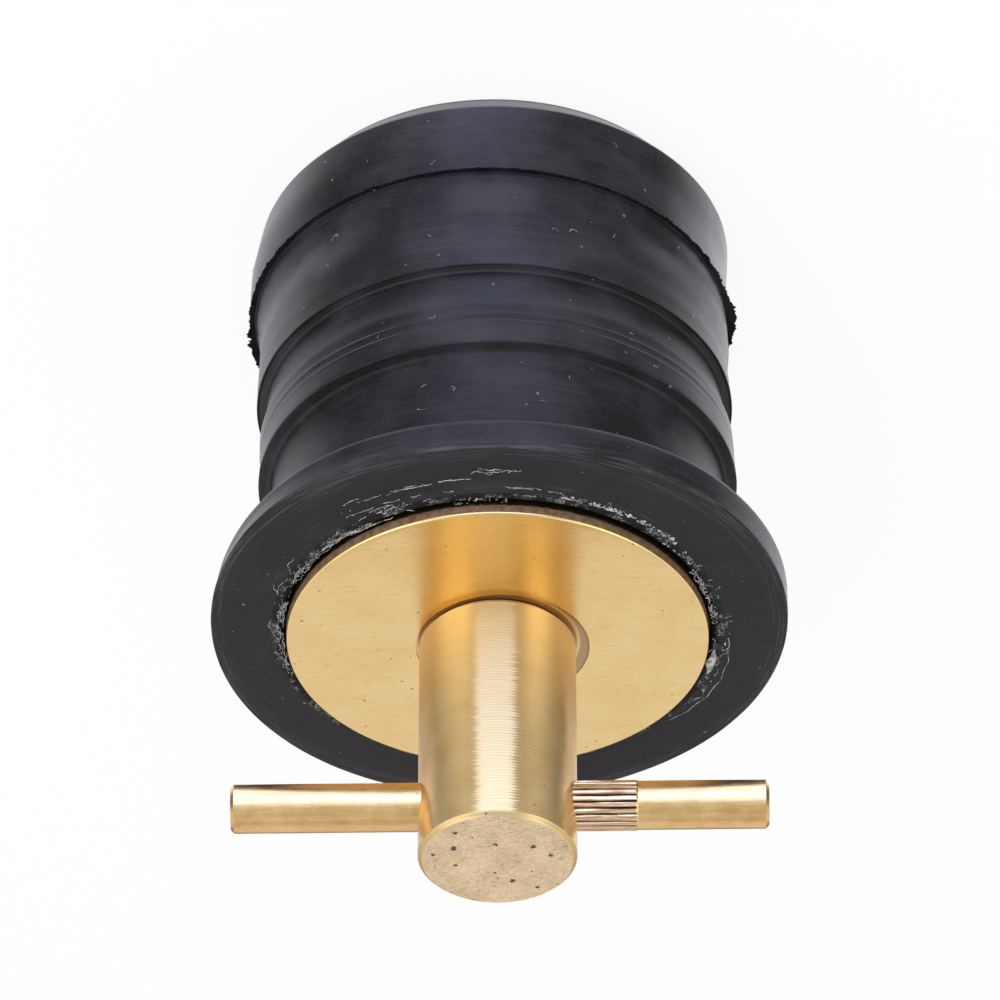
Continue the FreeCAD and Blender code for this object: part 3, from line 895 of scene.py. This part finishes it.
floor_half = 2.0
floor_build = bmesh.new()
bmesh.ops.create_grid(floor_build, x_segments=1, y_segments=1, size=floor_half)
floor = placed("studio_floor", floor_build)
paint = Finish("white_floor", Base_Color=grey(0.9), Roughness=0.9)
floor_path = paint.node("ShaderNodeLightPath")
floor_seen = floor_path["Is Camera Ray"].math("MAXIMUM", floor_path["Is Camera Ray"], floor_path["Is Transmission Ray"])
floor_white = paint.node("ShaderNodeEmission", {}, Strength=1.0)["Emission"]
floor_mix = paint.node("ShaderNodeMixShader", {}, [floor_seen * 0.9, Field(paint.shader.outputs[0]), floor_white])
paint.tree.links.new(floor_mix["Shader"].socket, paint.tree.nodes["Material Output"].inputs["Surface"])
floor.data.materials.append(paint.material)
floor.visible_glossy = False

world = bpy.context.scene.world or bpy.data.worlds.new("studio")
bpy.context.scene.world = world
world.use_nodes = True
room = Shading(world.node_tree)
direction = room.node("ShaderNodeSeparateXYZ", {}, [room.node("ShaderNodeTexCoord")["Generated"]])
turn_degrees = direction["X"].math("ARCTAN2", direction["X"], 0 - direction["Y"]) * math.degrees(1)
side_degrees = turn_degrees.math("ABSOLUTE", turn_degrees)
rise = direction["Z"]
front = room.band(turn_degrees, -28, -20, 25, 32)
fading = room.between(side_degrees, 82, 32)
left_side = room.between(turn_degrees, 94, 112)
right_side = room.between(turn_degrees, -104, -118)
at_band_height = room.band(rise, -0.88, -0.76, -0.45, -0.28)
steep = room.between(rise, -0.60, -0.80)
nadir = room.between(rise, -0.82, -0.92)
beside = (1.2 * left_side + 1.55 * right_side) * at_band_height
shallow = room.band(rise, -0.42, -0.25, -0.10, 0.08)
lower = (0.11 + 0.36 * fading + (1.15 + 1.3 * shallow) * front) * (1 + 0.8 * steep) + beside
lower = lower * (1 - nadir) + 1.4 * nadir
left_box = room.band(turn_degrees, 30, 46, 74, 104)
right_box = room.band(turn_degrees, -88, -68, -54, -36)
calm = room.band(turn_degrees, -44, -26, 22, 36)
upper = 0.86 + 0.80 * left_box + 0.80 * right_box - 0.26 * calm + 0.10 * room.between(side_degrees, 155, 130)
upper = upper * (1 - 0.32 * room.between(rise, 0.78, 0.94))
lit = room.between(rise, -0.12, 0.12) * (1 - front) + room.between(rise, 0.20, 0.42) * front
mirrored = lower * (1 - lit) + upper * lit
path = room.node("ShaderNodeLightPath")
strength = path["Is Glossy Ray"] * (mirrored - 0.7) + 0.7
camera_or_glass = path["Is Camera Ray"].math("MAXIMUM", path["Is Camera Ray"], path["Is Transmission Ray"])
strength = camera_or_glass * (1 - strength) + strength
tint = room.mix(front * (1 - lit), (0.98, 0.98, 1.05, 1.0), (0.90, 1.16, 1.85, 1.0))
tint = room.mix(lit, tint, room.mix(room.between(side_degrees, 120, 90), grey(1.0), (0.98, 1.07, 1.02, 1.0)))
tint = room.mix(path["Is Glossy Ray"], grey(1.0), tint)
background = world.node_tree.nodes["Background"]
world.node_tree.links.new(tint.socket, background.inputs["Color"])
world.node_tree.links.new(strength.socket, background.inputs["Strength"])

lamp = bpy.data.lights.new("front_softbox", "AREA")
lamp.shape = "SQUARE"
lamp.size = 0.45
lamp.energy = 3.0
softbox = linked("front_softbox", lamp)
softbox.location = (0.1, -0.45, 0.40)
softbox.rotation_euler = (softbox.location - Vector((0, 0, 0.025))).to_track_quat("Z", "Y").to_euler()
softbox.visible_glossy = False


# Camera: it looks down on the handle's end from the front, turned half a circle about its line of
# sight, so that the handle is at the bottom of the picture as in the photograph.

picture_size = 1000
focal_length_px = 7835
view_distance = 0.500
view_from_axis = math.radians(52.53)
view_azimuth = math.radians(-0.97)
washer_centre_px = (497.6, 642.1)

toward = Vector((math.sin(view_azimuth), -math.cos(view_azimuth), 0))
back = Vector((0, 0, 1)) * math.cos(view_from_axis) + toward * math.sin(view_from_axis)
up = toward * math.cos(view_from_axis) - Vector((0, 0, 1)) * math.sin(view_from_axis)
right = up.cross(back)
across = (washer_centre_px[0] - picture_size / 2) / focal_length_px * view_distance
down = (washer_centre_px[1] - picture_size / 2) / focal_length_px * view_distance
camera_data = bpy.data.cameras.new("camera")
camera_data.sensor_width = 36.0
camera_data.lens = focal_length_px / picture_size * camera_data.sensor_width
camera_data.clip_start = 0.01
camera = linked("camera", camera_data)
stand = Vector((0, 0, washer_face * MM)) + back * view_distance - right * across + up * down
camera.matrix_world = Matrix.Translation(stand) @ Matrix((right, up, back)).transposed().to_4x4()
bpy.context.scene.camera = camera
bpy.context.scene.view_settings.view_transform = "Standard"
